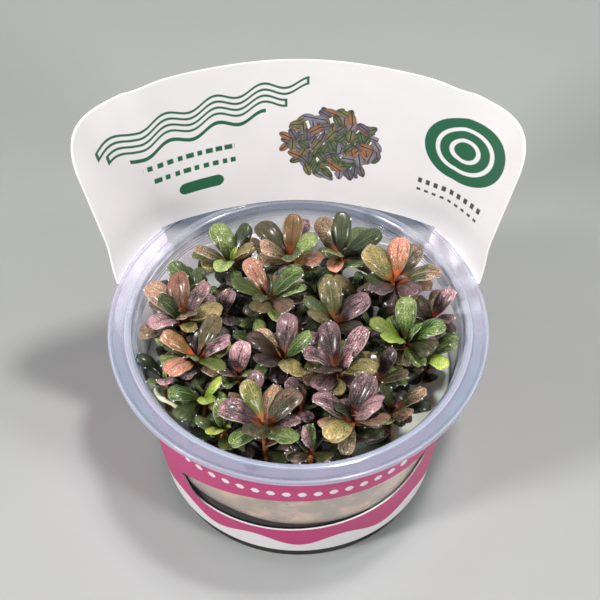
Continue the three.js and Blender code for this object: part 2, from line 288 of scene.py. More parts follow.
def rounded(corners):
    """An outline whose corners, each (radius, height, rounding), are rounded by short curves."""
    outline = []
    for i, (radius, height, rounding) in enumerate(corners):
        here = Vector((radius, height))
        if rounding == 0 or i in (0, len(corners) - 1):
            outline.append(here)
            continue
        before = (Vector(corners[i - 1][:2]) - here).normalized() * rounding
        after = (Vector(corners[i + 1][:2]) - here).normalized() * rounding
        for t in (0, 0.25, 0.5, 0.75, 1):
            outline.append(here + before * (1 - t) ** 2 + after * t ** 2)
    return outline


def lathe(corners):
    """Points and faces of a solid of revolution whose outline starts and ends on the axis."""
    first, *rings, last = rounded(corners)
    points = [(0, 0, first.y)]
    for ring in rings:
        for i in range(CUP_SEGMENTS):
            turn = 2 * pi * i / CUP_SEGMENTS
            points.append((ring.x * cos(turn), ring.x * sin(turn), ring.y))
    top = len(points)
    points.append((0, 0, last.y))
    faces = [face[::-1] for face in fan(1, CUP_SEGMENTS, 0)]
    faces += ring_faces(1, len(rings), CUP_SEGMENTS)
    faces += fan(top - CUP_SEGMENTS, CUP_SEGMENTS, top)
    return points, faces


# Node trees

def reckoned(operation):
    """A method that adds a math node for the value and what it is combined with."""
    return lambda value, *other: value.tree.math(operation, value, *other)


class Value:
    """A node's output that is reckoned with like a number."""

    def __init__(self, tree, socket):
        self.tree = tree
        self.socket = socket

    __add__ = reckoned("ADD")
    __sub__ = reckoned("SUBTRACT")
    __mul__ = reckoned("MULTIPLY")
    __truediv__ = reckoned("DIVIDE")
    __abs__ = reckoned("ABSOLUTE")


class Tree:
    """A material's nodes, in short calls. An input is a number, a colour or a Value."""

    def __init__(self, name):
        self.material = bpy.data.materials.new(name)
        self.material.use_nodes = True
        self.nodes = self.material.node_tree.nodes
        self.links = self.material.node_tree.links
        self.shader = self.nodes["Principled BSDF"]
        self.place = self.value("ShaderNodeTexCoord", output="Object")

    def plug(self, socket, value):
        if isinstance(value, Value):
            self.links.new(value.socket, socket)
        elif socket.type == "RGBA":
            socket.default_value = (*value, 1)
        else:
            socket.default_value = value

    def node(self, kind, inputs=(), **settings):
        node = configure(self.nodes.new(kind), **settings)
        for key, value in dict(inputs).items():
            self.plug(node.inputs[key], value)
        return node

    def value(self, kind, inputs=(), output=0, **settings):
        """One output of a new node."""
        return Value(self, self.node(kind, inputs, **settings).outputs[output])

    def math(self, operation, *inputs):
        return self.value("ShaderNodeMath", enumerate(inputs), operation=operation)

    def ramp(self, value, low, high, start=0.0, end=1.0):
        """Smooth passage from start to end while the value goes from low to high."""
        inputs = {"Value": value, "From Min": low, "From Max": high, "To Min": start, "To Max": end}
        return self.value("ShaderNodeMapRange", inputs, interpolation_type="SMOOTHSTEP")

    def mix(self, share, a, b, **settings):
        """Colour a passing to colour b as the share goes from 0 to 1."""
        return self.value("ShaderNodeMix", {0: share, 6: a, 7: b}, 2, data_type="RGBA", **settings)

    def dim(self, colour, factor):
        """The colour with each of its three parts times the factor."""
        grey = self.value("ShaderNodeCombineColor", {0: factor, 1: factor, 2: factor})
        return self.mix(1.0, colour, grey, blend_type="MULTIPLY")

    def split(self, vector):
        """The three parts of a vector or colour."""
        return [Value(self, part) for part in self.node("ShaderNodeSeparateXYZ", {0: vector}).outputs]

    def where(self):
        """The place in millimetres: across, back, and up from the rim."""
        x, y, z = (part / MM for part in self.split(self.place))
        return x, y, z - RIM

    def noise(self, size, detail=2.0, seed=None):
        """Noise from 0 to 1 with lumps of about the given size in millimetres."""
        inputs = {"Vector": self.place, "Scale": 1 / (size * MM), "Detail": detail}
        if seed is None:
            return self.value("ShaderNodeTexNoise", inputs, "Fac")
        inputs["W"] = seed
        return self.value("ShaderNodeTexNoise", inputs, "Fac", noise_dimensions="4D")

    def inside(self, distance, softness=0.12):
        """1 where a signed distance in millimetres is below 0, with a soft edge."""
        return self.ramp(distance, softness, -softness)

    def band(self, value, middle, half):
        return self.inside(abs(value - middle) - half)

    def either(self, a, b):
        return self.math("MAXIMUM", a, b)

    def length(self, u, v):
        return self.math("SQRT", u * u + v * v)

    def attribute(self, name):
        return self.value("ShaderNodeAttribute", output="Fac", attribute_name=name)

    def bump(self, height, depth):
        """Relief of the given depth in millimetres."""
        normal = self.value("ShaderNodeBump", {"Height": height, "Distance": depth * MM, "Strength": 1.0})
        self.plug(self.shader.inputs["Normal"], normal)

    def finish(self, colour, roughness, **sockets):
        sockets.update(Base_Color=colour, Roughness=roughness)
        for name, value in sockets.items():
            self.plug(self.shader.inputs[name.replace("_", " ")], value)
        return self.material


# Materials of the cup and the gel: where they pass over, in millimetres, and their tones

FRONT_FADE = (36, -20)
SLOT_SHADE_FADE = (31, 36)
FLANGE_FADE = (-7.0, -1.5)
WET_FADE = (-GEL_DEPTH - 0.5, -GEL_DEPTH + 1)
GEL_LIT_TOP_FADE = (-GEL_DEPTH - 2.5, -GEL_DEPTH - 0.3)
FLANGE_TONES = ((0.35, 0.40, 0.51), (0.40, 0.45, 0.56))
FLANGE_AT_BACK = (0.90, 0.87, 0.93)
# Painted shade: the flange behind the header's slot is given a dark slate tone, standing in for the shade
# behind the header
FLANGE_SLOT_SHADE = (0.27, 0.31, 0.40)
WALL_CLEAR = (0.94, 0.93, 0.95)
WALL_CLOUDY = (0.86, 0.88, 0.88)
# Painted highlight: the light tone of the lines along the ring, outer edge and ribs
RIDGE_HIGHLIGHT_TONE = (0.58, 0.60, 0.68)
SHADOW_TINT = (0.92, 0.92, 0.94)
INK_TONES = ((0.007, 0.005, 0.005), (0.020, 0.016, 0.015))
GEL_TONES = ((0.27, 0.180, 0.095), (0.54, 0.355, 0.200))
# Painted light: the gel's top is given paler tones than its body, for the upper face that the lamps reach
GEL_LIT_TOP_TONES = ((0.74, 0.74, 0.66), (0.88, 0.88, 0.82))
GEL_STREAK = (0.80, 0.73, 0.62)


def painted_ridge_highlights(tree, rise, radius, flange):
    """Painted highlight lines where the cup's raised ring, outer edge and ribs catch the light, from 0 to 1.
    """
    edges = [tree.band(radius, RING_MIDDLE + side * RING_HALF, 0.18) for side in (-1, 1)]
    ring = tree.either(tree.either(*edges), tree.band(radius, RING_MIDDLE, RING_HALF) * 0.45)
    ridge_highlights = tree.either(ring * flange, tree.band(radius, FLANGE_RADIUS, 0.6) * 0.7)
    for depth in RIB_DEPTHS:
        ridge_highlights = tree.either(ridge_highlights, tree.band(rise, -depth, 0.08))
    return ridge_highlights


def cup_plastic():
    """Milky polypropylene: cloudier in front, bluer in the flange, and clear where the gel wets it.

    Shadow rays pass it, so what it holds is lit."""
    tree = Tree("cup_plastic")
    across, back, rise = tree.where()
    cloud = tree.noise(9, detail=3)
    scuffs = tree.noise(0.7, detail=5)
    front = tree.ramp(back, *FRONT_FADE)
    flange = tree.ramp(rise, *FLANGE_FADE)
    cloudy = front * tree.ramp(rise, *WET_FADE)
    colour = tree.mix(tree.ramp(cloud, 0.3, 0.7), *FLANGE_TONES)
    colour = tree.mix(front, FLANGE_AT_BACK, colour)
    # Painted shade: the flange is darkened to slate blue from the slot backwards
    colour = tree.mix(tree.ramp(back, *SLOT_SHADE_FADE), colour, FLANGE_SLOT_SHADE)
    colour = tree.mix(flange, tree.mix(cloudy, WALL_CLEAR, WALL_CLOUDY), colour)
    ridge_highlights = painted_ridge_highlights(tree, rise, tree.length(across, back), flange)
    # Painted highlight lines along the real ring, edge and ribs; the plastic there is also made milkier and
    # rougher
    colour = tree.mix(ridge_highlights, colour, RIDGE_HIGHLIGHT_TONE)
    clearness = cloudy * -0.25 + ridge_highlights * -0.22 + tree.ramp(cloud, 0.3, 0.7, 0.90, 0.94)
    roughness = ridge_highlights * 0.08 + tree.ramp(scuffs, 0.35, 0.75, 0.06, 0.12)
    tree.bump(tree.noise(8), 0.003)
    tree.finish(colour, roughness, Transmission_Weight=clearness, IOR=1.45)
    shadow = tree.value("ShaderNodeLightPath", output="Is Shadow Ray")
    solid = Value(tree, tree.shader.outputs[0])
    clear = tree.value("ShaderNodeBsdfTransparent", {"Color": SHADOW_TINT})
    mixed = tree.value("ShaderNodeMixShader", {0: shadow, 1: solid, 2: clear})
    tree.plug(tree.nodes["Material Output"].inputs["Surface"], mixed)
    return tree.material


def cup_ink():
    """Black print on the lower part of the cup."""
    tree = Tree("cup_ink")
    wear = tree.noise(1.2, detail=5)
    tree.bump(wear, 0.01)
    colour = tree.mix(tree.ramp(wear, 0.35, 0.75), *INK_TONES)
    return tree.finish(colour, tree.ramp(wear, 0.3, 0.8, 0.36, 0.5), Specular_IOR_Level=0.25)


def gel():
    """Beige growing gel, cloudy inside, wet on top, and paler on top as painted light where the lamps reach
    its upper face.
    """
    tree = Tree("gel")
    rise = tree.where()[2]
    cloud = tree.noise(7, detail=4)
    streak = tree.noise(1.6, detail=3)
    below = tree.mix(tree.ramp(cloud, 0.40, 0.62), *GEL_TONES)
    # The paler top is painted light, lighter than the body seen through the wall
    above = tree.mix(tree.ramp(cloud, 0.3, 0.7), *GEL_LIT_TOP_TONES)
    colour = tree.mix(tree.ramp(rise, *GEL_LIT_TOP_FADE), below, above)
    colour = tree.mix(tree.ramp(streak, 0.56, 0.74, 0.0, 0.35), colour, GEL_STREAK)
    tree.bump(cloud, 0.25)
    return tree.finish(colour, 0.16, Subsurface_Weight=0.3, Subsurface_Scale=0.004, Coat_Weight=0.4)


# Cup and gel

def wall_radius(z):
    return WALL_RADIUS_AT_REFERENCE + WALL_SLOPE * (z - BAND_REFERENCE)


def inner_radius(z):
    return wall_radius(z) - WALL_THICKNESS


def on_outer_wall(point):
    x, y, z = point
    return hypot(x, y) > wall_radius(z) - WALL_THICKNESS / 2


def is_inked(middle):
    """Whether a face of the cup, given by its middle, is on the printed part of the outer wall."""
    return FOOT_ROUNDING / 2 < middle[2] < INK_TOP and on_outer_wall(middle)


def lift_ink(point):
    """The print's top edge climbs along the wall towards the left."""
    x, y, z = point
    if not (isclose(z, INK_TOP, abs_tol=0.01) and on_outer_wall(point)):
        return point
    lifted = z + INK_LIFT * min(max((-x - INK_LIFT_START) / INK_LIFT_RUN, 0), 1)
    stretch = wall_radius(lifted) / wall_radius(z)
    return x * stretch, y * stretch, lifted


def make_cup():
    under = RIM - FLANGE_THICKNESS
    lip = RIM - LIP_DEPTH
    sunk = RIM - FLANGE_HOLLOW
    ribs = []
    for depth in RIB_DEPTHS:
        for step, height in ((0.3, 0), (0, RIB_HEIGHT), (-0.3, 0)):
            ribs.append((inner_radius(RIM - depth) - height, RIM - depth + step, 0.1))
    corners = [
        (0, 0, 0),
        (wall_radius(0), 0, FOOT_ROUNDING),
        (wall_radius(INK_TOP), INK_TOP, 0),
        (wall_radius(RIM - NECK_DEPTH), RIM - NECK_DEPTH, 0.3),
        (NECK_RADIUS, RIM - NECK_DEPTH + 0.6, 0.3),
        (NECK_RADIUS, under, 0.4),
        (FLANGE_RADIUS - 0.65, under, 0.15),
        (FLANGE_RADIUS - 0.6, lip, 0.2),
        (FLANGE_RADIUS, lip, 0.2),
        (FLANGE_RADIUS - 0.05, RIM, 0.35),
        (FLANGE_RADIUS - 1.1, RIM, 0.3),
        (FLANGE_RADIUS - 1.4, sunk, 0.3),
        (RING_MIDDLE + RING_HALF + 0.5, sunk, 0.3),
        (RING_MIDDLE + RING_HALF, RIM, 0.3),
        (RING_MIDDLE - RING_HALF + 0.4, RIM, 0.5),
        (MOUTH_RADIUS + 0.2, RIM - 0.9, 0.3),
        (MOUTH_RADIUS, RIM - LEDGE_DEPTH + 0.4, 0.15),
        (inner_radius(RIM - LEDGE_DEPTH), RIM - LEDGE_DEPTH, 0.15),
        *ribs,
        (inner_radius(FLOOR_THICKNESS), FLOOR_THICKNESS, 0.8),
        (0, FLOOR_THICKNESS, 0),
    ]
    points, faces = lathe(corners)
    inked = [is_inked(np.mean([points[i] for i in face], axis=0)) for face in faces]
    points = [lift_ink(point) for point in points]
    cup = make_piece("cup_body", points, faces, [cup_plastic(), cup_ink()], inked, sharp_angle=60)
    stand_in(cup, "cup")


def make_gel():
    corners = [
        (0, GEL_BOTTOM, 0),
        (inner_radius(GEL_BOTTOM) - 0.1, GEL_BOTTOM, 0.5),
        (inner_radius(GEL_TOP) - 0.1, GEL_TOP + 0.8, 0),
        (inner_radius(GEL_TOP) - 0.5, GEL_TOP + 0.25, 0.3),
        (inner_radius(GEL_TOP) - 2.2, GEL_TOP, 0.8),
        (0, GEL_TOP, 0),
    ]
    points, faces = lathe(corners)
    stand_in(make_piece("gel_body", points, faces, [gel()], sharp_angle=60), "gel_medium")


# Card sleeve

def sleeve_radius(turn_from_back, z):
    rise = z - RIM
    above_rim = max(rise, 0)
    cone = wall_radius(min(z, RIM)) + FIT_GAP + CARD_THICKNESS
    side = min(turn_from_back / SLOT_END_TURN, 1)
    middle = 1 - smoothstep(turn_from_back, PINCH_TURN, SLOT_END_TURN)
    pinch = SLOT_PINCH * middle * smoothstep(rise, -SLOT_DEPTH, 0)
    clearance = FLANGE_CLEARANCE * smoothstep(rise, -CLEARANCE_START, 0)
    clearance -= CLEARANCE_LOST_ABOVE * smoothstep(rise, 0, CLEARANCE_END)
    lean = SIDE_LEAN * side ** 2 + EDGE_LEAN * smoothstep(turn_from_back, *EDGE_LEAN_TURNS)
    flare = clearance * side ** SIDE_GROWTH + lean * above_rim
    fade = 1 - smoothstep(turn_from_back, FLARE_END_TURN, PLAIN_CONE_TURN)
    return cone + HEADER_LEAN * above_rim - pinch + flare * fade


def sleeve_ring(materials):
    """The whole ring before it is cut, with its outer face in slot 0, inner in 1 and edges in 2."""
    bottom = BAND_BOTTOM + BAND_LIFT
    tall = RIM + HEADER_RISE - bottom
    count = round(tall / SLEEVE_LEVEL_STEP)
    levels = [bottom + tall * i / count for i in range(count + 1)]
    loop = [(z, 0) for z in levels] + [(z, CARD_THICKNESS) for z in reversed(levels)]
    points = []
    for column in range(SLEEVE_COLUMNS):
        turn = 360 * column / SLEEVE_COLUMNS
        angle = radians(turn)
        for z, inward in loop:
            radius = sleeve_radius(min(turn, 360 - turn), z) - inward
            points.append((radius * sin(angle), radius * cos(angle), z))
    faces = ring_faces(0, SLEEVE_COLUMNS + 1, len(loop))
    faces = [tuple(i % len(points) for i in face) for face in faces]
    slots = ([0] * count + [2] + [1] * count + [2]) * SLEEVE_COLUMNS
    return make_piece("card_sleeve_body", points, faces, materials, slots)


def curves(start, *pieces, steps=14):
    """A chain of Bezier curves; each piece is two control points and its end."""
    outline = [start]
    for piece in pieces:
        corners = (outline[-1], *piece)
        for step in range(1, steps + 1):
            t = step / steps
            weights = ((1 - t) ** 3, 3 * t * (1 - t) ** 2, 3 * t * t * (1 - t), t ** 3)
            outline.append(tuple(sum(w * p[axis] for w, p in zip(weights, corners)) for axis in (0, 1)))
    return outline


def window_outline():
    outline = curves(
        (-31, -30),
        ((-29.5, -35), (-28, -39.2), (-24, -39.2)),
        ((-12, -39.4), (12, -37.5), (22, -35)),
        ((29, -33.5), (33, -28), (34.4, -22)),
        ((20, -20), (-4, -19.5), (-15, -22)),
        ((-23, -24), (-28, -26.5), (-31, -30)),
    )
    return outline[:-1]


def slot_outline():
    """A flat bowl, whose foot is the parabola through its ends and the slot's full depth."""
    foot = (-SLOT_FOOT_HALF_WIDTH, -SLOT_FOOT_DEPTH)
    far_foot = (SLOT_FOOT_HALF_WIDTH, -SLOT_FOOT_DEPTH)
    sag = SLOT_FOOT_DEPTH - 2 * SLOT_DEPTH
    controls = [(x / 3, y / 3 + sag * 2 / 3) for x, y in (foot, far_foot)]
    bowl = curves(foot, (*controls, far_foot), steps=24)
    return [(-SLOT_HALF_WIDTH, SLOT_TOP), *bowl, (SLOT_HALF_WIDTH, SLOT_TOP)]


def side_outline():
    """What is cut away above the band and in front of the header's side edges: y and z."""
    top = RIM + HEADER_RISE
    shoulder = curves((23, top - 15), ((25, top - 7), (32, top - 1.5), (44, top + 0.2)))
    return [(-80, BAND_TOP), (14.7, BAND_TOP), *shoulder, (44, top + 10), (-80, top + 10)]


def facing(x, rise, y):
    return x, y, RIM + rise


def sideways(y, z, x):
    return x, y, z


def prism(outline, ends, place, material):
    """A cutter: an outline swept between two ends, its points placed in space by a function."""
    size = len(outline)
    points = [place(u, v, end) for end in ends for u, v in outline]
    faces = [tuple(range(size)), tuple(range(size, 2 * size)), *ring_faces(0, 2, size)]
    cutter = make_piece("cutter", points, faces, [material])
    shape = bmesh.new()
    shape.from_mesh(cutter.data)
    bmesh.ops.recalc_face_normals(shape, faces=shape.faces)
    shape.to_mesh(cutter.data)
    shape.free()
    return cutter


def cut(piece, cutters):
    for cutter in cutters:
        modifier = piece.modifiers.new("cut", "BOOLEAN")
        configure(modifier, object=cutter, operation="DIFFERENCE", solver="EXACT", material_mode="TRANSFER")
    graph = bpy.context.evaluated_depsgraph_get()
    mesh = bpy.data.meshes.new_from_object(piece.evaluated_get(graph))
    piece.modifiers.clear()
    piece.data = mesh
    for cutter in cutters:
        bpy.data.objects.remove(cutter)


def make_sleeve():
    edge = card_edge()
    sleeve = sleeve_ring([card_outside(), card_inside(), edge])
    cut(sleeve, [
        prism(side_outline(), (-2 * FLANGE_RADIUS, 2 * FLANGE_RADIUS), sideways, edge),
        prism(slot_outline(), SLOT_CUT, facing, edge),
        prism(window_outline(), WINDOW_CUT, facing, edge),
    ])
    shade_smooth(sleeve.data, 35)
    stand_in(sleeve, "card_sleeve")


# Print on the card: colours by the turn round the cup and the height above the rim

MAGENTA = (0.54, 0.024, 0.17)
WHITE = (0.86, 0.83, 0.85)
BLACK = (0, 0, 0)
DARK_GREEN = (0.02, 0.13, 0.065)
INK_GREY = (0.07, 0.075, 0.07)
EDGE_TONES = ((0.78, 0.75, 0.76), (0.92, 0.90, 0.91))
EDGE_INKED = (0.34, 0.13, 0.20)

# The wavy foot of the magenta and the row of dots above the window, with turns in degrees
WAVE_HEIGHT = -45.3
WAVE_SWING = 1.9
WAVE_PERIOD = 36
DOT_ROW_HEIGHT = -16.6
DOT_HEIGHT = 1.5
DOT_PITCH = 5.5
DOT_ROW_TURN = 43

# The header's wavy lines: arc of each one's start and end, and half its thickness
LINES = ((-53, 3, 1.35), (-51, -3, 1.35), (-46, -9, 0.6))
LINE_HEIGHT = 39.5
LINE_SPACING = 3.9
LINE_SLOPE = 0.13
LINE_SWING = 1.3
LINE_PERIOD = 13
LINE_RIM = 0.7

BLOCK_PITCH = 2.7
BLOCK_HALF_HEIGHT = 0.8
BADGE_MIDDLE = (-29, 11)
BADGE_HALF_HEIGHT = 1.9
BADGE_HALF_LENGTH = 4.6

# The header's spray of leaf shapes: each layer is cut from another stretch of one pattern of cells
SPRAY_MIDDLE = (9.5, 20.5)
SPRAY_RADIUS = 11
SPRAY_FLATNESS = 0.8
SPRAY_PITCH = 4.2
SPRAY_LAYERS = 6
SPRAY_SHIFT = (9.37, 5.71)
SPRAY_LEAF_NARROWNESS = 1.8
SPRAY_GLOSS = (0.55, 0.50, 0.45)
SPRAY_VEIN = (0.05, 0.04, 0.03)
SPRAY_PAINTS = (
    (0, (0.10, 0.08, 0.12)),
    (0.22, (0.15, 0.14, 0.05)),
    (0.42, (0.04, 0.09, 0.03)),
    (0.60, (0.20, 0.19, 0.26)),
    (0.80, (0.30, 0.12, 0.05)),
)

DISC_MIDDLE = (45, 29)
DISC_RADIUS = 10
DISC_RINGS = (3.2, 6.6)
DISC_RING_HALF = 0.55
TICK_PITCH = 2.2
TICK_ROWS = ((15, 0.8), (12, 0.4))


class Print(Tree):
    """A tree that knows the place on the card: arc and rise in millimetres, turn in degrees."""

    def __init__(self, name):
        super().__init__(name)
        across, back, self.rise = self.where()
        self.arc = self.math("ARCTAN2", across, back) * FLANGE_RADIUS
        self.front_turn = self.math("DEGREES", self.math("ARCTAN2", across, back * -1))

    def wave(self, value, period):
        return self.math("SINE", value * (2 * pi / period))

    def bar(self, arc, rise, half_length, half_height):
        return self.band(self.arc, arc, half_length) * self.band(self.rise, rise, half_height)

    def from_point(self, arc, rise):
        return self.length(self.arc - arc, self.rise - rise)


def card_surface(tree, colour):
    fibre = tree.noise(0.35, detail=4)
    colour = tree.mix(tree.ramp(tree.noise(12), 0.3, 0.7, 0.0, 0.03), colour, BLACK)
    tree.bump(fibre, 0.012)
    return tree.finish(colour, tree.ramp(fibre, 0.3, 0.7, 0.36, 0.46), Coat_Weight=0.12, Coat_Roughness=0.25)


def card_edge():
    """Cut edge of the card: white, and inked magenta along the band's top under the flange."""
    tree = Print("card_edge")
    fibre = tree.noise(0.3, detail=3)
    tree.bump(fibre, 0.03)
    inked = tree.band(tree.rise, BAND_TOP - RIM, 1.5) * tree.ramp(abs(tree.arc), 58, 62)
    return tree.finish(tree.mix(inked, tree.mix(fibre, *EDGE_TONES), EDGE_INKED), 0.7)


def card_outside():
    """Magenta round the cup over a white wavy foot, and plain white on the back of the header."""
    tree = Print("card_outside")
    foot = tree.wave(tree.front_turn + WAVE_PERIOD / 4, WAVE_PERIOD) * -WAVE_SWING + WAVE_HEIGHT
    colour = tree.mix(tree.inside(tree.rise - foot), MAGENTA, WHITE)
    dot = tree.ramp(tree.wave(tree.front_turn, DOT_PITCH), -1.0, 1.0) * DOT_HEIGHT - 0.35
    row = tree.inside(abs(tree.rise - DOT_ROW_HEIGHT) - dot)
    near_front = tree.ramp(abs(tree.front_turn), DOT_ROW_TURN + 1, DOT_ROW_TURN)
    colour = tree.mix(row * near_front, colour, WHITE)
    return card_surface(tree, tree.mix(tree.ramp(tree.rise, 2.9, 3.1), colour, WHITE))


def header_waves(tree, colour):
    """Three wavy lines at the upper left of the header, the first two green with a white core."""
    top_line = tree.wave(tree.arc, LINE_PERIOD) * LINE_SWING + tree.arc * LINE_SLOPE + LINE_HEIGHT
    for i, (start, end, half) in enumerate(LINES):
        middle = (start + end) / 2
        half_length = (end - start) / 2
        offset = abs(tree.rise - top_line + LINE_SPACING * i)
        line = tree.inside(offset - half) * tree.band(tree.arc, middle, half_length)
        colour = tree.mix(line, colour, DARK_GREEN)
        if half > LINE_RIM:
            core = tree.inside(offset - (half - 0.75)) * tree.band(tree.arc, middle, half_length - LINE_RIM)
            colour = tree.mix(core, colour, WHITE)
    return colour


def block_row(tree, colour, middle, half_length, rise):
    """A row of upright blocks of uneven width."""
    place = tree.arc / BLOCK_PITCH + (60.5 + rise)
    number = tree.math("FLOOR", place)
    chance = tree.value("ShaderNodeTexWhiteNoise", {"W": number}, "Value", noise_dimensions="1D")
    width = tree.ramp(chance, 0.0, 1.0, 0.24, 0.42)
    block = tree.inside(abs(tree.math("FRACT", place) - 0.5) - width, 0.06)
    return tree.mix(tree.bar(middle, rise, half_length, BLOCK_HALF_HEIGHT) * block, colour, DARK_GREEN)


def header_bars(tree, colour):
    """Two rows of blocks and a round-ended green badge under the wavy lines."""
    colour = block_row(tree, colour, -31, 12.5, 21.5)
    colour = block_row(tree, colour, -30, 11.5, 17)
    arc, rise = BADGE_MIDDLE
    badge = tree.bar(arc, rise, BADGE_HALF_LENGTH, BADGE_HALF_HEIGHT)
    for end in (-BADGE_HALF_LENGTH, BADGE_HALF_LENGTH):
        badge = tree.either(badge, tree.inside(tree.from_point(arc + end, rise) - BADGE_HALF_HEIGHT))
    return tree.mix(badge, colour, DARK_GREEN)


def spray_layer(tree, colour, layer):
    """Small leaf shapes, one to a cell, each turned and painted by chance."""
    shift = [step * layer for step in SPRAY_SHIFT]
    grid = [place / SPRAY_PITCH + step for place, step in zip((tree.arc, tree.rise), shift)]
    inputs = {"Vector": tree.value("ShaderNodeCombineXYZ", enumerate(grid)), "Scale": 1.0, "Randomness": 0.6}
    cells = tree.node("ShaderNodeTexVoronoi", inputs, voronoi_dimensions="2D")
    spot_x, spot_y, _ = tree.split(Value(tree, cells.outputs["Position"]))
    turn, paint_chance, _ = tree.split(Value(tree, cells.outputs["Color"]))
    cosine, sine = (tree.math(operation, turn * (2 * pi)) for operation in ("COSINE", "SINE"))
    x, y = grid[0] - spot_x, grid[1] - spot_y
    along = x * cosine + y * sine
    across = y * cosine - x * sine
    distance = tree.length(along, across * SPRAY_LEAF_NARROWNESS)
    paint = SPRAY_PAINTS[0][1]
    for low, next_paint in SPRAY_PAINTS[1:]:
        paint = tree.mix(tree.ramp(paint_chance, low, low + 0.01), paint, next_paint)
    paint = tree.mix(tree.ramp(distance, 0.5, 0.1, 0.0, 0.25), paint, SPRAY_GLOSS)
    paint = tree.mix(tree.ramp(abs(across), 0.06, 0.03), paint, SPRAY_VEIN)
    middle_x, middle_y = (place / SPRAY_PITCH + step for place, step in zip(SPRAY_MIDDLE, shift))
    apart = tree.length((spot_x - middle_x) * SPRAY_FLATNESS, spot_y - middle_y)
    near = tree.math("LESS_THAN", apart, SPRAY_RADIUS / SPRAY_PITCH)
    return tree.mix(tree.inside(distance - 0.5, 0.03) * near, colour, paint)


def header_disc(tree, colour):
    """A green disc with two white rings at the right of the header, and two rows of ticks below it."""
    distance = tree.from_point(*DISC_MIDDLE)
    colour = tree.mix(tree.inside(distance - DISC_RADIUS), colour, DARK_GREEN)
    for radius in DISC_RINGS:
        colour = tree.mix(tree.band(distance, radius, DISC_RING_HALF), colour, WHITE)
    ticks = tree.ramp(tree.wave(tree.arc, TICK_PITCH), -0.2, 0.2)
    for rise, half_height in TICK_ROWS:
        row = tree.bar(DISC_MIDDLE[0], rise, DISC_RADIUS, half_height)
        colour = tree.mix(ticks * row, colour, INK_GREY)
    return colour


def card_inside():
    """White inner face, with the header's generic print above the rim."""
    tree = Print("card_inside")
    colour = header_waves(tree, WHITE)
    colour = header_bars(tree, colour)
    for layer in range(SPRAY_LAYERS):
        colour = spray_layer(tree, colour, layer)
    return card_surface(tree, header_disc(tree, colour))


# Materials of the plantlets

LEAF_MARGIN = (0.86, 0.82, 0.72)
LEAF_UNDERSIDE = (0.26, 0.18, 0.17)
STEM_TONES = ((0.34, 0.10, 0.025), (0.50, 0.19, 0.06))
ROOT_TONES = ((0.60, 0.62, 0.32), (0.80, 0.80, 0.62))
CRUMB_TONES = ((0.88, 0.88, 0.84), (0.97, 0.97, 0.95))


def leaf_material(tone):
    """A glossy leaf: a blush in patches, a midrib, faint side veins, pale margins and fine pale speckles,
    partly its own glitter and partly painted sheen, with painted light and shade in each leaf's brightness
    and in the darkening of low leaves.
    """
    main, blush, vein, stalk = LEAF_TONES[tone]
    tree = Tree("leaf_" + tone)
    side, along, underside, seed = (tree.attribute(name) for name in LEAF_ATTRIBUTES)
    across = abs(side)
    patches = tree.noise(2.4, detail=3, seed=seed * 40)
    speckles = tree.noise(0.34, detail=3)
    lengthwise = tree.value("ShaderNodeCombineXYZ", {0: side * 6, 1: along * 2.2, 2: seed * 90})
    streaks = tree.value("ShaderNodeTexNoise", {"Vector": lengthwise, "Scale": 2.0, "Detail": 3.0}, "Fac")
    spread = patches * 1.5 + seed * 0.7 + along * 0.75 + speckles * 0.9 + streaks * 1.2 - 0.6
    colour = tree.mix(tree.ramp(spread, 1.65, 2.75), main, blush)
    ribs = tree.math("SINE", (along - across * 0.5) * 50)
    colour = tree.mix(tree.ramp(ribs, 0.55, 1.0, 0.0, 0.35), colour, vein)
    midrib_line = tree.ramp(across, 0.085, 0.02) * tree.ramp(along, 1.0, 0.75)
    colour = tree.mix(midrib_line * 0.9, colour, vein)
    pale = tree.mix(0.5, blush, LEAF_MARGIN)
    colour = tree.mix(tree.ramp(across, 0.86, 1.0, 0.0, 0.75), colour, pale)
    # Fine pale speckles, thicker where the blush spreads: partly the leaf's own glitter and partly a painted
    # sheen
    dots = tree.ramp(speckles, 0.50, 0.66) * tree.ramp(spread, 1.6, 2.5, 0.02, 0.65)
    colour = tree.mix(dots, colour, pale)
    colour = tree.mix(underside * 0.4, colour, tree.mix(0.3, main, LEAF_UNDERSIDE))
    colour = tree.mix(tree.ramp(along, 0.28, -0.02), colour, stalk)
    # A random brightness for each leaf, partly its own tone and partly painted light and shade: some leaves
    # look lit, others shaded
    light = tree.math("FRACT", seed * 7.3) * 1.42 + 0.15
    # Painted shade: leaves lower in the cup are darkened by height, down to 0.28 near the gel, for the shade
    # deep in the clump
    depth = tree.ramp(tree.where()[2], 4 - GEL_DEPTH, 3, 0.28, 1.0)
    colour = tree.dim(tree.dim(colour, light), depth)
    tree.bump(ribs * 0.16 + speckles * 1.2 + streaks * 0.8 - midrib_line * 1.2, 0.12)
    roughness = tree.ramp(patches, 0.3, 0.7, 0.30, 0.46)
    return tree.finish(colour, roughness, Coat_Weight=0.5, Coat_Roughness=0.2, Specular_IOR_Level=0.4)


def bark(name, tones, size, detail, relief, roughness, **sockets):
    """The knobbly skin of a stem or root, in two tones and lumps of the given size."""
    tree = Tree(name)
    mottle = tree.noise(size, detail)
    tree.bump(mottle, relief)
    return tree.finish(tree.mix(tree.ramp(mottle, 0.3, 0.7), *tones), roughness, **sockets)


def stem_material():
    return bark("stem", STEM_TONES, 1.1, 3, 0.12, 0.45)


def root_material():
    return bark("root", ROOT_TONES, 0.9, 4, 0.2, 0.4, Subsurface_Weight=0.2, Subsurface_Scale=0.001)


def crumb_material():
    """Crumbs of clear gel that stick to the leaves."""
    tree = Tree("gel_crumb")
    colour = tree.mix(tree.noise(0.3), *CRUMB_TONES)
    return tree.finish(colour, 0.12, Subsurface_Weight=0.3, Subsurface_Scale=0.0005)


# Where the leaves go: the same search as shapes the solids

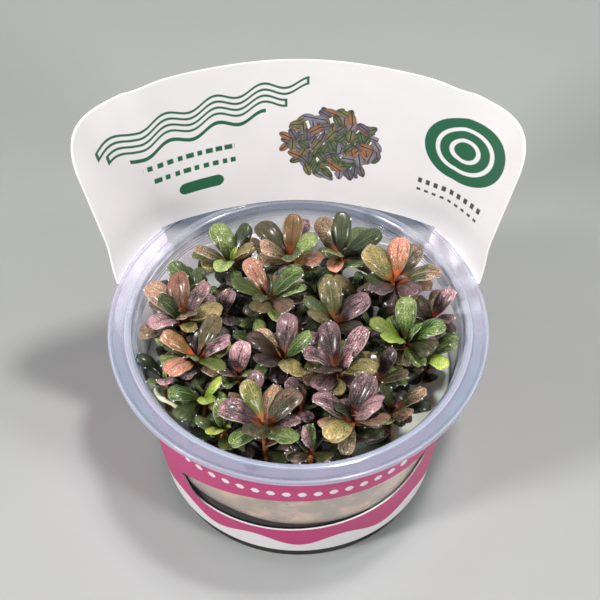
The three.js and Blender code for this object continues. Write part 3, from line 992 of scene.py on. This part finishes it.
HEADS = np.array([(row[0], row[1], RIM - row[2]) for row in PLANTLETS], float)
STATIONS = (0.05, 0.2, 0.4, 0.6, 0.8, 1)
LEAF_SIZES = (1, 0.9, 0.8, 0.7, 0.6)
LEAF_LIFTS = range(0, 37, 6)
LEAF_SWINGS = (0, 12, -12, 24, -24)


def has_room(index, points, margin):
    """Whether all the points lie in the plantlet's own cell, in the cup and outside the clearing."""
    radius = np.hypot(points[:, 0], points[:, 1])
    wall = inner_radius(np.minimum(points[:, 2], BAND_TOP)) - WALL_MARGIN
    if (radius > wall).any() or (points[:, 2] < GEL_TOP + WALL_MARGIN).any():
        return False
    if ((points >= CLEARING[0]) & (points <= CLEARING[1])).all(axis=1).any():
        return False
    own = HEADS[index]
    others = np.delete(HEADS, index, axis=0)
    apart = np.linalg.norm(others - own, axis=1)
    to_others = ((points[:, None, :] - others[None]) ** 2).sum(axis=2)
    to_own = ((points - own) ** 2).sum(axis=1)
    yields = TALL_SPREAD * (others[:, 2] - own[2])
    return bool(((to_others - to_own[:, None]) / (2 * apart) >= margin + yields).all())


def midrib(leaf, distance):
    """Point, sideways direction and upper normal of the leaf's midrib, an arc that bends down."""
    length = leaf["stalk"] + leaf["blade"]
    rise = radians(leaf["rise"])
    bend = radians(leaf["curl"]) / length
    pitch = rise - bend * distance
    out = (sin(rise) - sin(pitch)) / bend
    up = (cos(pitch) - cos(rise)) / bend
    turn = radians(leaf["turn"])
    along = np.array((cos(turn), sin(turn), 0))
    point = np.array(leaf["head"]) + along * out + np.array((0, 0, up))
    side = np.array((-along[1], along[0], 0))
    normal = np.array((-sin(pitch) * along[0], -sin(pitch) * along[1], cos(pitch)))
    return point, side, normal


def half_width(leaf, oval, fraction):
    """Half width of a blade, from its oval outline and the shift of that towards the tip."""
    return leaf["blade"] * leaf["aspect"] * 0.5 * (oval * (1 - OVAL_SHIFT * (1 - fraction)) / OVAL_WIDEST)


def blade_stations(leaf):
    stations = []
    for fraction in STATIONS:
        oval = (4 * fraction * (1 - fraction)) ** OVAL_FULLNESS
        half = max(half_width(leaf, oval, fraction), STALK_RADIUS)
        stations.append((*midrib(leaf, leaf["stalk"] + leaf["blade"] * fraction), half))
    return stations


def touches(stations, sisters):
    for point, _, _, half in stations:
        for other, side, normal, other_half in sisters:
            apart = point - other
            across = abs(apart @ side)
            off = abs(apart @ normal)
            along = sqrt(max(apart @ apart - across ** 2 - off ** 2, 0))
            if across < (half + other_half) * SISTER_OVERLAP and off < SISTER_GAP and along < SISTER_REACH:
                return True
    return False


def keeps_bare_parts(points):
    """Whether an extra leaf leaves the cup's wall, the root and the clearing in sight."""
    root = np.array(ROOT_ROUTE, float)
    to_root = np.linalg.norm(points[:, None, :] - root[None], axis=2)
    to_clearing = np.hypot(points[:, 0] - BARE_MIDDLE[0], points[:, 1] - BARE_MIDDLE[1])
    within = np.hypot(points[:, 0], points[:, 1]) < EXTRA_REACH
    return bool(within.all() and (to_root > ROOT_CLEARANCE).all() and (to_clearing > BARE_RADIUS).all())


def settle(index, wanted, sisters, margin):
    """Swings, raises and then shortens a leaf, step by step, until it has room."""
    for size, lift, swing in itertools.product(LEAF_SIZES, LEAF_LIFTS, LEAF_SWINGS):
        leaf = dict(wanted)
        leaf["rise"] += lift
        leaf["turn"] += swing
        leaf["stalk"] *= size
        leaf["blade"] *= size
        stations = blade_stations(leaf)
        edges = [point + side * half * sign for point, side, _, half in stations for sign in (1, -1)]
        edges = np.array(edges)
        if margin < 0 and not keeps_bare_parts(edges):
            continue
        if has_room(index, edges, margin) and not touches(stations, sisters):
            sisters.extend(stations)
            return leaf
    return None


def settle_all(index, wishes, sisters, margin):
    leaves = [settle(index, wanted, sisters, margin) for wanted in wishes]
    return [leaf for leaf in leaves if leaf]


def upper_leaves(index):
    """The leaves that the solid has, in its order."""
    turn, blade, _, tones = PLANTLETS[index][3:]
    for i, tone in enumerate(tones):
        age = i / (len(tones) - 1)
        yield {
            "head": HEADS[index],
            "turn": turn + GOLDEN_ANGLE * i,
            "rise": between(RISE_OF_YOUNGEST, RISE_OF_OLDEST, age),
            "curl": LEAF_CURL,
            "stalk": between(STALK_OF_YOUNGEST, STALK_OF_OLDEST, age),
            "blade": blade * (1 - SHORTER_AT_THE_ENDS * abs(2 * age - 0.8)),
            "aspect": BLADE_ASPECT,
            "tone": tone,
        }


def middle_leaves(index, chance):
    """Leaves between the solid's own, which close the rosette."""
    turn, blade = PLANTLETS[index][3:5]
    for i in range(MIDDLE_LEAVES):
        yield {
            "head": HEADS[index] - (0, 0, 1.2),
            "turn": turn + 25 + GOLDEN_ANGLE * i,
            "rise": chance.uniform(28, 55),
            "curl": chance.uniform(25, 60),
            "stalk": chance.uniform(2.2, 3.6),
            "blade": blade * chance.uniform(0.72, 0.95),
            "aspect": BLADE_ASPECT,
            "tone": MIDDLE_TONES[(i + index) % len(MIDDLE_TONES)],
        }


def ground_leaves(index, chance):
    """Old leaves low on the stem, which hide the gel between the rosettes; the leaf material darkens them by
    height, a painted shade.
    """
    turn, blade = PLANTLETS[index][3:5]
    x, y, top = HEADS[index]
    low = GEL_TOP + 2.5
    for i in range(GROUND_LEAVES):
        level = low + (top - 2.5 - low) * (i % 4) / 3
        yield {
            "head": np.array((x, y, max(level, low))),
            "turn": turn + 60 + GOLDEN_ANGLE * i,
            "rise": chance.uniform(14, 36),
            "curl": chance.uniform(10, 40),
            "stalk": chance.uniform(1.6, 3.4),
            "blade": blade * chance.uniform(0.60, 0.82),
            "aspect": chance.uniform(0.52, 0.62),
            "tone": GROUND_TONES[(i + 3 * index) % len(GROUND_TONES)],
        }


# Fine leaves

FINE_RINGS = (0.03, 0.08, 0.14, 0.22, 0.31, 0.41, 0.52, 0.63, 0.73, 0.82, 0.89, 0.945, 0.985)
PLAIN_RINGS = (0.04, 0.13, 0.27, 0.44, 0.62, 0.79, 0.91, 0.98)
STALK_RINGS = (0.0, 0.35, 0.7)
FINE_SIDES = 16
PLAIN_SIDES = 10
STEM_SIDES = 14
ROOT_SIDES = 12
ROOT_STEPS = 9


def around(sides):
    return np.arange(sides) * 2 * pi / sides


class Shell:
    """Points, faces and leaf coordinates of one plantlet, gathered shell by shell."""

    def __init__(self):
        self.points = []
        self.faces = []
        self.slots = []
        self.leaf_data = {name: [] for name in LEAF_ATTRIBUTES}

    def add_points(self, points, across=0.0, along=0.0, underside=0.0, seed=0.5):
        self.points.extend(points)
        for name, value in zip(LEAF_ATTRIBUTES, (across, along, underside, seed)):
            self.leaf_data[name].extend(np.broadcast_to(value, len(points)))

    def add_faces(self, faces, slot):
        self.faces.extend(faces)
        self.slots.extend([slot] * len(faces))

    def skin(self, start, size, slot):
        """Skins the rings of points from start on. One face closes the first, and a fan to the last
        point closes the last."""
        tip = len(self.points) - 1
        foot = tuple(reversed(range(start, start + size)))
        rings = ring_faces(start, (tip - start) // size, size)
        self.add_faces([foot, *rings, *fan(tip - size, size, tip)], slot)


def leaf_form(chance):
    """What makes one blade differ from the next."""
    return {
        "fold": chance.triangular(0.05, 0.70, 0.2),
        "arch": chance.uniform(0.25, 0.60),
        "puff": chance.uniform(0.04, 0.16),
        "wave": chance.uniform(0.02, 0.12),
        "waves": chance.uniform(1.4, 3.2),
        "phase": chance.uniform(0, 1),
        "twist": chance.gauss(0, 12),
        "droop": chance.triangular(-0.6, 4.2, 0.6),
        "skew": chance.gauss(0, 0.5),
        "seed": chance.random(),
    }


def ring_points(leaf, form, distance, fraction, sides):
    """One ring round the leaf: a round stalk that flattens into the two-lobed blade."""
    point, side, normal = midrib(leaf, distance)
    turns = around(sides)
    across = np.cos(turns)
    upward = np.sin(turns)
    inner = max(fraction, 0)
    flat = smoothstep(fraction, -0.02, 0.14)
    oval = (2 * inner) ** OVAL_FULLNESS * (2 * (1 - inner)) ** TIP_BLUNTNESS
    half = half_width(leaf, oval, inner) * BLADE_WIDENING
    half = hypot(half, STALK_RADIUS * (1 - inner) ** 3)
    stalk_half = STALK_RADIUS * (1 + 0.8 * smoothstep(-fraction, 0.1, 0.3))
    half = between(stalk_half, half, smoothstep(fraction, -0.06, 0.04))
    spread = np.abs(across)
    lobes = form["fold"] * spread - form["arch"] * spread ** 2 + form["puff"] * np.sin(pi * spread)
    swell = np.sin(2 * pi * (form["waves"] * fraction + form["phase"] + 0.23 * (across > 0)))
    lift = half * (lobes + form["wave"] * swell * spread ** 2)
    thickness = BLADE_THICKNESS * (1 - 0.45 * spread) * (1 - 0.35 * fraction)
    keel = np.where(upward < 0, 0.28 * np.exp(-(across / 0.16) ** 2) * (1 - inner), 0)
    blade_height = lift + upward * thickness / 2 - keel
    height = between(upward * stalk_half * 0.85, blade_height, flat)
    height = height - form["droop"] * max(fraction - 0.5, 0) ** 2 * 2
    twist = radians(form["twist"]) * inner
    sideways_by = across * half + form["skew"] * inner ** 2
    turned_side = sideways_by * cos(twist) - height * sin(twist)
    turned_height = sideways_by * sin(twist) + height * cos(twist)
    points = point + np.outer(turned_side, side) + np.outer(turned_height, normal)
    return points, across, np.where(np.abs(upward) < 0.01, 0.5, upward < 0)


def add_leaf(shell, leaf, form, rings=FINE_RINGS, sides=FINE_SIDES):
    """Adds one leaf, and returns points on its margin and tip where a crumb could sit."""
    start = len(shell.points)
    blade_start = max(leaf["stalk"] - BLADE_HEAD_START, 0.5 * leaf["stalk"])
    length = leaf["stalk"] + leaf["blade"] - blade_start
    stations = [(blade_start * s, -0.3 * (1 - s)) for s in STALK_RINGS]
    stations += [(blade_start + length * f, f) for f in rings]
    for distance, fraction in stations:
        points, across, underside = ring_points(leaf, form, distance, fraction, sides)
        shell.add_points(points, across, fraction, underside, form["seed"])
    tip = points.mean(axis=0) + (points.mean(axis=0) - shell.points[-2 * sides]) * 0.04
    shell.add_points([tip], 0.0, 1.0, 0.5, form["seed"])
    shell.skin(start, sides, TONE_SLOTS[leaf["tone"]])
    last = start + len(stations) * sides
    return [shell.points[last - ring * sides + k] for ring in (1, 2, 4, 7) for k in (0, sides // 2)]


def add_stem(shell, head, slot):
    """A short stem from inside the gel up to the knot where the stalks meet."""
    x, y, top = head
    foot = ((GEL_TOP - 1, 0.95), (GEL_TOP + 1, 0.85))
    knot = ((-6, 0.72), (-3, 0.66), (-1.2, 0.85), (-0.2, 1.15), (0.7, 0.95), (1.4, 0.5))
    turns = around(STEM_SIDES)
    start = len(shell.points)
    for ring, (z, radius) in enumerate((*foot, *((top + rise, radius) for rise, radius in knot))):
        uneven = radius * (1 + 0.08 * np.sin(3 * turns + ring))
        level = np.full(STEM_SIDES, z)
        shell.add_points(np.column_stack((x + uneven * np.cos(turns), y + uneven * np.sin(turns), level)))
    shell.add_points([(x, y, top + 1.9)])
    shell.skin(start, STEM_SIDES, slot)


def add_bud(shell, index, chance):
    """The rolled new leaf that stands in the middle of the rosette."""
    leaf = {
        "head": HEADS[index] + np.array((0, 0, 0.6)),
        "turn": chance.uniform(0, 360),
        "rise": chance.uniform(72, 86),
        "curl": chance.uniform(4, 22),
        "stalk": 1.2,
        "blade": chance.uniform(3.2, 5.2),
        "aspect": chance.uniform(0.22, 0.3),
        "tone": "l" if PLANTLETS[index][5] in "gl" else "c",
    }
    add_leaf(shell, leaf, {**leaf_form(chance), "fold": 1.3, "arch": 0.2})


def add_crumb(shell, centre, radius, slot):
    start = len(shell.points)
    ball = bmesh.new()
    bmesh.ops.create_icosphere(ball, subdivisions=1, radius=radius)
    ball.verts.ensure_lookup_table()
    shell.add_points([np.array(centre) + np.array(v.co) * (1, 1, 0.8) for v in ball.verts])
    shell.add_faces([tuple(start + v.index for v in face.verts) for face in ball.faces], slot)
    ball.free()


def catmull(points):
    """Points along a smooth curve through the given ones."""
    ends = [2 * points[0] - points[1], *points, 2 * points[-1] - points[-2]]
    curve = []
    for i in range(1, len(ends) - 2):
        a, b, c, d = ends[i - 1:i + 3]
        for step in range(ROOT_STEPS):
            t = step / ROOT_STEPS
            curve.append(0.5 * (2 * b + (c - a) * t + (2 * a - 5 * b + 4 * c - d) * t ** 2
                                + (3 * b - a - 3 * c + d) * t ** 3))
    return [*curve, points[-1]]


def add_root(shell, slot, chance):
    """The bare knobbly root that loops up along the wall, and thins towards its end."""
    route = catmull([np.array(point, float) for point in ROOT_ROUTE])
    turns = around(ROOT_SIDES)
    start = len(shell.points)
    for i, point in enumerate(route):
        ahead = route[min(i + 1, len(route) - 1)] - route[max(i - 1, 0)]
        ahead /= np.linalg.norm(ahead)
        side = np.cross(ahead, (0, 0, 1))
        side /= np.linalg.norm(side)
        up = np.cross(side, ahead)
        radius = ROOT_RADIUS * (0.82 + 0.3 * chance.random()) * (1 - 0.6 * i / len(route))
        shell.add_points(point + radius * (np.outer(np.cos(turns), up) + np.outer(np.sin(turns), side)))
    shell.add_points([route[-1] + 0.5 * (route[-1] - route[-2])])
    shell.skin(start, ROOT_SIDES, slot)


def make_plantlet(index, materials):
    chance = random.Random(100 + index)
    name = f"plantlet_{index + 1:02d}"
    shell = Shell()
    stem_slot, root_slot, crumb_slot = range(len(LEAF_TONES), len(materials))
    sisters = []
    leaves = settle_all(index, upper_leaves(index), sisters, CELL_MARGIN)
    leaves += settle_all(index, middle_leaves(index, chance), sisters, MIDDLE_MARGIN)
    add_stem(shell, HEADS[index], stem_slot)
    add_bud(shell, index, chance)
    for leaf in leaves:
        leaf["aspect"] *= chance.uniform(0.88, 1.14)
        spots = add_leaf(shell, leaf, leaf_form(chance))
        for spot in chance.sample(spots, chance.randint(0, CRUMBS_PER_LEAF)):
            add_crumb(shell, spot, chance.uniform(0.14, 0.30), crumb_slot)
    for leaf in settle_all(index, ground_leaves(index, chance), [], GROUND_MARGIN):
        add_leaf(shell, leaf, leaf_form(chance), PLAIN_RINGS, PLAIN_SIDES)
    if index + 1 == ROOT_PLANTLET:
        add_root(shell, root_slot, chance)
    piece = make_piece(name + "_leaves", shell.points, shell.faces, materials, shell.slots)
    for key, values in shell.leaf_data.items():
        attribute = piece.data.attributes.new(key, "FLOAT", "POINT")
        attribute.data.foreach_set("value", np.array(values, np.float32))
    stand_in(piece, name)


def make_plantlets():
    materials = [leaf_material(tone) for tone in LEAF_TONES]
    materials += [stem_material(), root_material(), crumb_material()]
    for index in range(len(PLANTLETS)):
        make_plantlet(index, materials)


# Floor, lights and camera

FLOOR_REACH = 3000
FLOOR_TONES = ((0.400, 0.415, 0.414), (0.420, 0.436, 0.435))
WORLD_COLOUR = (0.97, 0.98, 1.0, 1)
WORLD_STRENGTH = 0.08

# Place, target and side length of each square light in millimetres, its power in watts and its colour
LIGHTS = {
    "key": ((120, 20, 740), (0, 0, 40), 70, 2.9, (1.0, 0.985, 0.95)),
    "left": ((-550, -330, 440), (0, 0, 60), 120, 4.7, (1.0, 0.99, 0.97)),
    "right": ((480, -370, 420), (0, 0, 60), 120, 2.6, (1.0, 0.99, 0.97)),
    "panel": ((40, 465, 720), (0, 0, 50), 360, 0.7, (0.95, 0.97, 1.0)),
}

# The camera that was fitted to the photo: it looks at the middle of the rim
CAMERA_ELEVATION = 51.39
CAMERA_DISTANCE = 500
IMAGE_SIZE = 600
FOCAL_PIXELS = 1906
RIM_CENTRE_PIXEL = (298.3, 324.3)
SENSOR_WIDTH = 36


def make_floor():
    tree = Tree("floor")
    material = tree.finish(tree.mix(tree.noise(40), *FLOOR_TONES), 0.75)
    corners = [(x * FLOOR_REACH, y * FLOOR_REACH, 0) for x, y in ((-1, -1), (1, -1), (1, 1), (-1, 1))]
    floor = make_piece("floor", corners, [(0, 1, 2, 3)], [material])
    floor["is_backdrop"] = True


def place_object(name, data, place, direction):
    """Adds a light or camera that looks along a direction."""
    item = bpy.data.objects.new(name, data)
    turn = direction.to_track_quat("-Z", "Y")
    configure(item, location=place * MM, rotation_mode="QUATERNION", rotation_quaternion=turn)
    bpy.context.scene.collection.objects.link(item)
    return item


def make_lights():
    world = bpy.data.worlds.new("studio")
    world.use_nodes = True
    background = world.node_tree.nodes["Background"]
    background.inputs["Color"].default_value = WORLD_COLOUR
    background.inputs["Strength"].default_value = WORLD_STRENGTH
    bpy.context.scene.world = world
    for name, (place, target, size, power, colour) in LIGHTS.items():
        data = bpy.data.lights.new(name, "AREA")
        configure(data, shape="SQUARE", size=size * MM, energy=power, color=colour)
        place_object(name, data, Vector(place), Vector(target) - Vector(place))


def make_camera():
    tilt = radians(CAMERA_ELEVATION)
    back = Vector((0, -cos(tilt), sin(tilt)))
    data = configure(
        bpy.data.cameras.new("camera"),
        sensor_width=SENSOR_WIDTH,
        lens=SENSOR_WIDTH * FOCAL_PIXELS / IMAGE_SIZE,
        shift_x=(IMAGE_SIZE / 2 - RIM_CENTRE_PIXEL[0]) / IMAGE_SIZE,
        shift_y=(RIM_CENTRE_PIXEL[1] - IMAGE_SIZE / 2) / IMAGE_SIZE,
        clip_start=0.01,
    )
    camera = place_object("camera", data, Vector((0, 0, RIM)) + back * CAMERA_DISTANCE, -back)
    bpy.context.scene.camera = camera


make_cup()
make_gel()
make_sleeve()
make_plantlets()
make_floor()
make_lights()
make_camera()
bpy.context.scene.view_settings.view_transform = "Standard"

boxes = {"cad": cad_box, "visual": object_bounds()}
{name: [list(corner) for corner in box] for name, box in boxes.items()}
